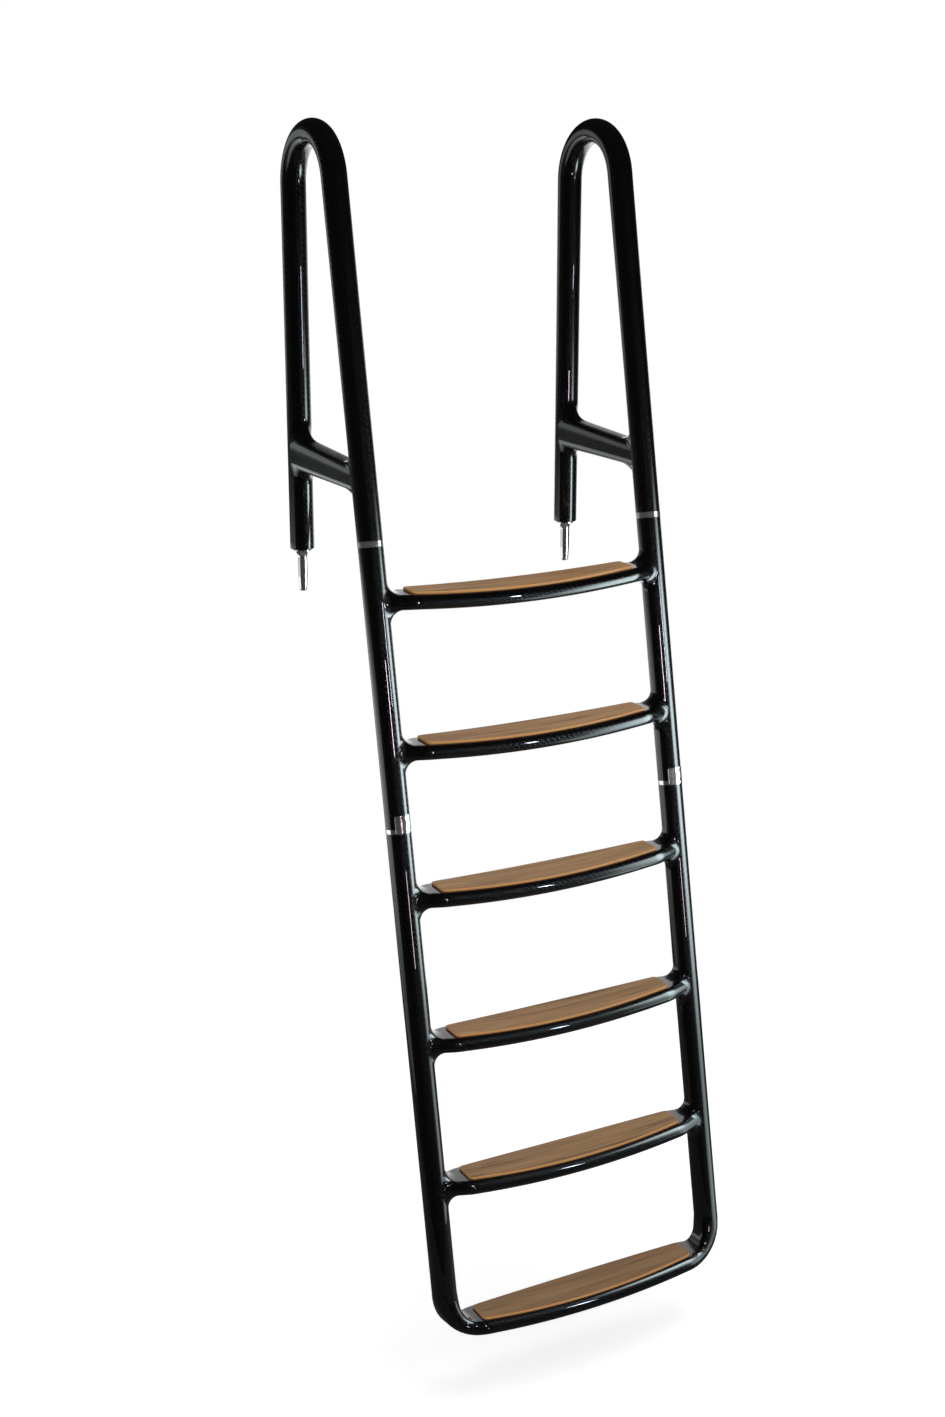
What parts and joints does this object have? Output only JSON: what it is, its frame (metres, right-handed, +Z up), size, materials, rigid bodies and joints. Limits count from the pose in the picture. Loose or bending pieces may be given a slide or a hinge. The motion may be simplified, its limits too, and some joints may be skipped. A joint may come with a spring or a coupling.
{
  "type": "swim ladder",
  "caption": "Two-section boarding ladder of dark moulded tube with looped handrails, bowed wooden treads, push-button latches and deck pins.",
  "frame": {"origin": "midway between the two deck pins, level with the mouths of their sockets, where the straight parts of the pins begin", "axes": "+X along the rungs, +Y inboard towards the boat, +Z up along the pins"},
  "size_m": [0.5412, 0.5763, 1.8639],
  "materials": {
    "carbon": "black carbon weave under clear gloss lacquer",
    "stainless": "polished stainless steel",
    "spigot": "dark hard-anodised",
    "teak": "oiled fine sanded"
  },
  "bodies": {
    "upper_section": {"handrail_left": "carbon", "handrail_right": "carbon", "deck_pin_left": "stainless", "deck_pin_right": "stainless", "rail_ferrule_left": "stainless", "rail_ferrule_right": "stainless", "frame_ferrule_left": "stainless", "frame_ferrule_right": "stainless", "upper_stile_left": "carbon", "upper_stile_right": "carbon", "latch_collar_left": "stainless", "latch_collar_right": "stainless", "rung_1": "carbon", "rung_2": "carbon", "tread_1": "teak", "tread_2": "teak"},
    "lower_section": {"joint_spigot_left": "spigot", "joint_spigot_right": "spigot", "foot_ring_left": "stainless", "foot_ring_right": "stainless", "lower_stile_left": "carbon", "lower_stile_right": "carbon", "bottom_corner_left": "carbon", "bottom_corner_right": "carbon", "rung_3": "carbon", "rung_4": "carbon", "rung_5": "carbon", "rung_6": "carbon", "tread_3": "teak", "tread_4": "teak", "tread_5": "teak", "tread_6": "teak"},
    "button_left": {"latch_button_left": "stainless"},
    "button_right": {"latch_button_right": "stainless"}
  },
  "joints": [
    {"name": "lower_section_slide", "type": "slide", "parent": "upper_section", "child": "lower_section", "axis": [0, -0.1977, -0.9803], "range_m": [0, 0.06]},
    {"name": "button_left_press", "type": "slide", "parent": "upper_section", "child": "button_left", "axis": [0, 0.9803, -0.1977], "range_m": [0, 0.0025], "stiffness_N_per_m": 2000, "springref_m": -0.0015},
    {"name": "button_right_press", "type": "slide", "parent": "upper_section", "child": "button_right", "axis": [0, 0.9803, -0.1977], "range_m": [0, 0.0025], "stiffness_N_per_m": 2000, "springref_m": -0.0015}
  ]
}
